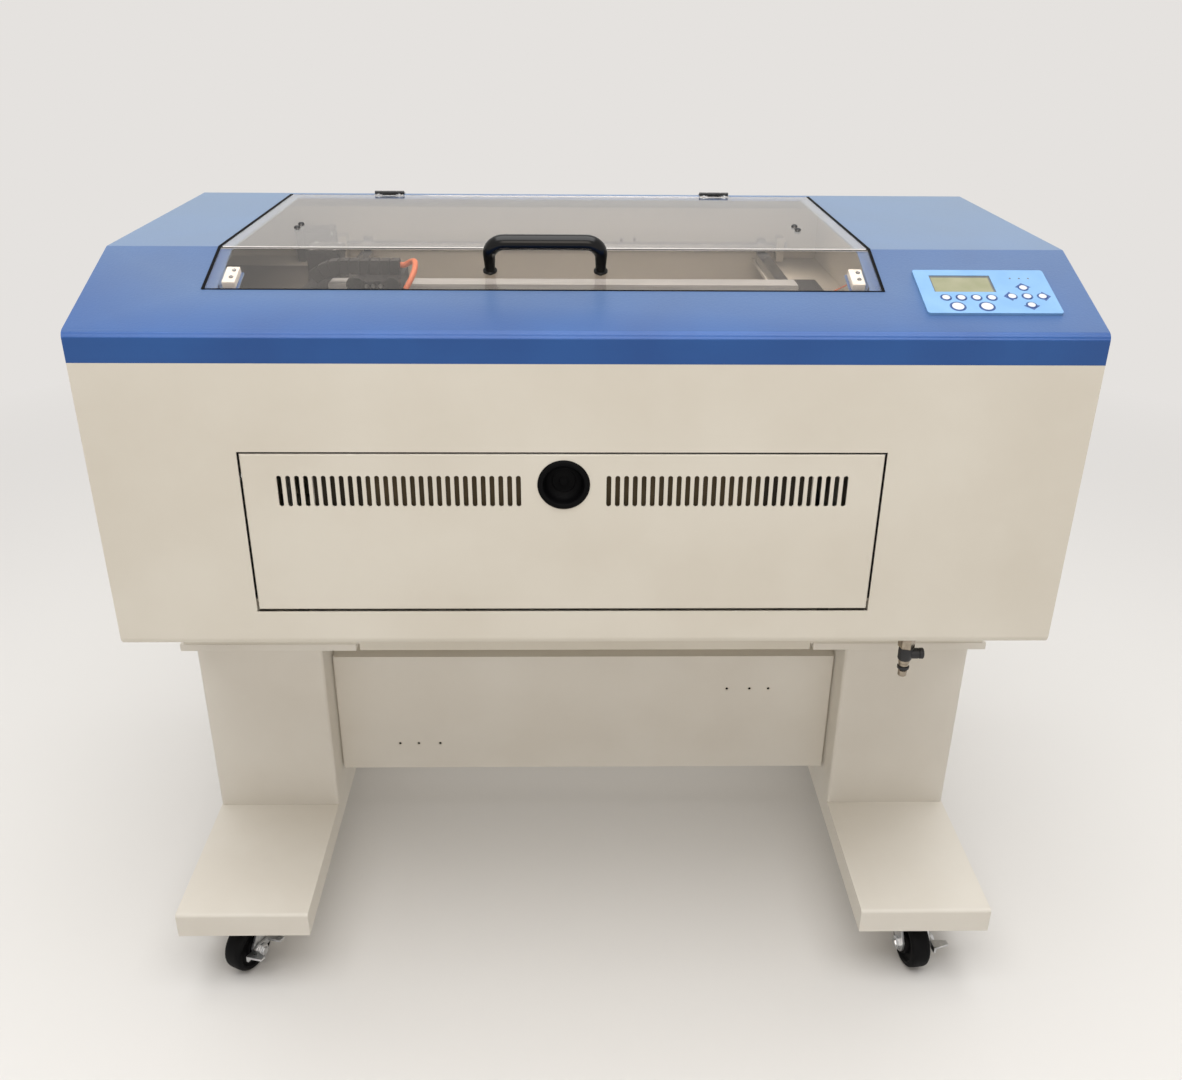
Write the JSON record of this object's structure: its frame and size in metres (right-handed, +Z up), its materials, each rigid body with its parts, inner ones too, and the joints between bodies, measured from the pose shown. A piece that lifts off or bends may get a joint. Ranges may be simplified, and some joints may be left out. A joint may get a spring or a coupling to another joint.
{
  "type": "laser cutting machine",
  "caption": "Laser engraving and cutting machine: a beige cabinet with a drop door, a blue cover with a smoked lid and a keypad, and a gantry inside, on a castered column stand.",
  "frame": {"origin": "on the floor, at the bottom centre of the bounding box", "axes": "+X to the operator's right, +Y from the front to the back, +Z up"},
  "size_m": [0.97, 0.69, 0.8921],
  "materials": {
    "beige_paint": "fine textured powder coat, satin",
    "inner_paint": "flat powder coat inside the chamber",
    "blue_paint": "fine textured powder coat, satin",
    "zinc_steel": "bright zinc plate",
    "dark_steel": "black oxide or black paint",
    "wheel_polymer": "moulded wheel",
    "black_plastic": "moulded, glossy",
    "matt_black": "moulded, matt",
    "smoked_acrylic": "clear smoked sheet, polished",
    "overlay_film": "printed polyester film",
    "display_film": "display window",
    "key_white": "domed membrane key",
    "switch_white": "moulded, matt",
    "aluminium": "anodised, satin",
    "orange_hose": "flexible tube"
  },
  "bodies": {
    "cabinet": {"feet": "beige_paint", "columns": "beige_paint", "top_plates": "beige_paint", "cross_panel": "beige_paint", "stand_bolts": "zinc_steel", "caster_plates": "zinc_steel", "front_panel": "beige_paint", "side_panels": "beige_paint", "rear_panel": "beige_paint", "exhaust_spigot": "zinc_steel", "base_tub": "beige_paint", "chamber_walls": "inner_paint", "top_cover": "blue_paint", "keypad_overlay": "overlay_film", "display_window": "display_film", "hinge_brackets": "dark_steel", "interlock_switches": "switch_white", "power_inlet": "matt_black", "air_fitting": "matt_black", "table_posts": "zinc_steel", "y_rails": "zinc_steel", "laser_tube": "aluminium", "electronics_box": "zinc_steel", "y_motor": "dark_steel"},
    "lid": {"lid_window": "smoked_acrylic", "lid_handle": "black_plastic", "lid_hinges": "dark_steel", "lid_screws": "zinc_steel"},
    "door": {"front_door": "beige_paint", "door_pull": "black_plastic"},
    "table": {"work_table": "aluminium"},
    "gantry": {"gantry_beam": "aluminium", "x_motor": "dark_steel"},
    "carriage": {"lens_carriage": "matt_black", "drag_chain": "matt_black", "air_hose": "orange_hose"},
    "drive_shaft": {"y_drive_shaft": "zinc_steel"},
    "rocker": {"power_switch": "matt_black"},
    "valve_knob": {"air_valve_knob": "zinc_steel"},
    "key_1": {"key_1": "key_white"},
    "key_2": {"key_2": "key_white"},
    "key_3": {"key_3": "key_white"},
    "key_4": {"key_4": "key_white"},
    "key_start": {"key_start": "key_white"},
    "key_stop": {"key_stop": "key_white"},
    "key_up": {"key_up": "key_white"},
    "key_down": {"key_down": "key_white"},
    "key_left": {"key_left": "key_white"},
    "key_right": {"key_right": "key_white"},
    "key_center": {"key_center": "key_white"},
    "front_left_fork": {"front_left_fork": "zinc_steel"},
    "front_left_wheel": {"front_left_wheel": "wheel_polymer"},
    "front_left_brake": {"front_left_brake": "zinc_steel"},
    "front_right_fork": {"front_right_fork": "zinc_steel"},
    "front_right_wheel": {"front_right_wheel": "wheel_polymer"},
    "front_right_brake": {"front_right_brake": "zinc_steel"},
    "rear_left_fork": {"rear_left_fork": "zinc_steel"},
    "rear_left_wheel": {"rear_left_wheel": "wheel_polymer"},
    "rear_right_fork": {"rear_right_fork": "zinc_steel"},
    "rear_right_wheel": {"rear_right_wheel": "wheel_polymer"}
  },
  "joints": [
    {"name": "lid_hinge", "type": "hinge", "parent": "cabinet", "child": "lid", "pos_m": [-0.043, 0.13, 0.8718], "axis": [-1, 0, 0], "range_deg": [0, 85]},
    {"name": "door_hinge", "type": "hinge", "parent": "cabinet", "child": "door", "pos_m": [-0.025, -0.334, 0.537], "axis": [1, 0, 0], "range_deg": [0, 90]},
    {"name": "table_lift", "type": "slide", "parent": "cabinet", "child": "table", "axis": [0, 0, 1], "range_m": [-0.135, 0.03]},
    {"name": "gantry_slide", "type": "slide", "parent": "cabinet", "child": "gantry", "axis": [0, 1, 0], "range_m": [-0.08, 0.24]},
    {"name": "carriage_slide", "type": "slide", "parent": "gantry", "child": "carriage", "axis": [1, 0, 0], "range_m": [-0.03, 0.42]},
    {"name": "shaft_spin", "type": "hinge", "parent": "cabinet", "child": "drive_shaft", "pos_m": [-0.025, 0.201, 0.789], "axis": [-1, 0, 0], "range_deg": [-430, 1260]},
    {"name": "power_rocker", "type": "hinge", "parent": "cabinet", "child": "rocker", "pos_m": [0.33, 0.29, 0.593], "axis": [1, 0, 0], "range_deg": [-8, 8]},
    {"name": "air_valve", "type": "hinge", "parent": "cabinet", "child": "valve_knob", "pos_m": [0.342, -0.324, 0.447], "axis": [0, 0, 1], "range_deg": [0, 720]},
    {"name": "key_1_press", "type": "slide", "parent": "cabinet", "child": "key_1", "axis": [0, 0.3342, -0.9425], "range_m": [0, 0.0005], "stiffness_N_per_m": 1200},
    {"name": "key_2_press", "type": "slide", "parent": "cabinet", "child": "key_2", "axis": [0, 0.3342, -0.9425], "range_m": [0, 0.0005], "stiffness_N_per_m": 1200},
    {"name": "key_3_press", "type": "slide", "parent": "cabinet", "child": "key_3", "axis": [0, 0.3342, -0.9425], "range_m": [0, 0.0005], "stiffness_N_per_m": 1200},
    {"name": "key_4_press", "type": "slide", "parent": "cabinet", "child": "key_4", "axis": [0, 0.3342, -0.9425], "range_m": [0, 0.0005], "stiffness_N_per_m": 1200},
    {"name": "key_start_press", "type": "slide", "parent": "cabinet", "child": "key_start", "axis": [0, 0.3342, -0.9425], "range_m": [0, 0.0005], "stiffness_N_per_m": 1200},
    {"name": "key_stop_press", "type": "slide", "parent": "cabinet", "child": "key_stop", "axis": [0, 0.3342, -0.9425], "range_m": [0, 0.0005], "stiffness_N_per_m": 1200},
    {"name": "key_up_press", "type": "slide", "parent": "cabinet", "child": "key_up", "axis": [0, 0.3342, -0.9425], "range_m": [0, 0.0005], "stiffness_N_per_m": 1200},
    {"name": "key_down_press", "type": "slide", "parent": "cabinet", "child": "key_down", "axis": [0, 0.3342, -0.9425], "range_m": [0, 0.0005], "stiffness_N_per_m": 1200},
    {"name": "key_left_press", "type": "slide", "parent": "cabinet", "child": "key_left", "axis": [0, 0.3342, -0.9425], "range_m": [0, 0.0005], "stiffness_N_per_m": 1200},
    {"name": "key_right_press", "type": "slide", "parent": "cabinet", "child": "key_right", "axis": [0, 0.3342, -0.9425], "range_m": [0, 0.0005], "stiffness_N_per_m": 1200},
    {"name": "key_center_press", "type": "slide", "parent": "cabinet", "child": "key_center", "axis": [0, 0.3342, -0.9425], "range_m": [0, 0.0005], "stiffness_N_per_m": 1200},
    {"name": "front_left_swivel", "type": "hinge", "parent": "cabinet", "child": "front_left_fork", "pos_m": [-0.407, -0.278, 0.074], "axis": [0, 0, 1], "continuous": true},
    {"name": "front_left_spin", "type": "hinge", "parent": "front_left_fork", "child": "front_left_wheel", "pos_m": [-0.41971, -0.30295, 0.0315], "axis": [0.891, -0.454, 0], "continuous": true},
    {"name": "front_left_brake_lever", "type": "hinge", "parent": "front_left_fork", "child": "front_left_brake", "pos_m": [-0.40189, -0.31203, 0.0315], "axis": [0.891, -0.454, 0], "range_deg": [0, 18]},
    {"name": "front_right_swivel", "type": "hinge", "parent": "cabinet", "child": "front_right_fork", "pos_m": [0.407, -0.278, 0.074], "axis": [0, 0, 1], "continuous": true},
    {"name": "front_right_spin", "type": "hinge", "parent": "front_right_fork", "child": "front_right_wheel", "pos_m": [0.4109, -0.30573, 0.0315], "axis": [0.9903, 0.1392, 0], "continuous": true},
    {"name": "front_right_brake_lever", "type": "hinge", "parent": "front_right_fork", "child": "front_right_brake", "pos_m": [0.4307, -0.30294, 0.0315], "axis": [0.9903, 0.1392, 0], "range_deg": [0, 18]},
    {"name": "rear_left_swivel", "type": "hinge", "parent": "cabinet", "child": "rear_left_fork", "pos_m": [-0.407, 0.278, 0.074], "axis": [0, 0, 1], "continuous": true},
    {"name": "rear_left_spin", "type": "hinge", "parent": "rear_left_fork", "child": "rear_left_wheel", "pos_m": [-0.421, 0.25375, 0.0315], "axis": [0.866, -0.5, 0], "continuous": true},
    {"name": "rear_right_swivel", "type": "hinge", "parent": "cabinet", "child": "rear_right_fork", "pos_m": [0.407, 0.278, 0.074], "axis": [0, 0, 1], "continuous": true},
    {"name": "rear_right_spin", "type": "hinge", "parent": "rear_right_fork", "child": "rear_right_wheel", "pos_m": [0.421, 0.25375, 0.0315], "axis": [0.866, 0.5, 0], "continuous": true}
  ],
  "couplings": [
    {"joint": "shaft_spin", "follows": "gantry_slide", "rad_per_m": 90.909}
  ]
}
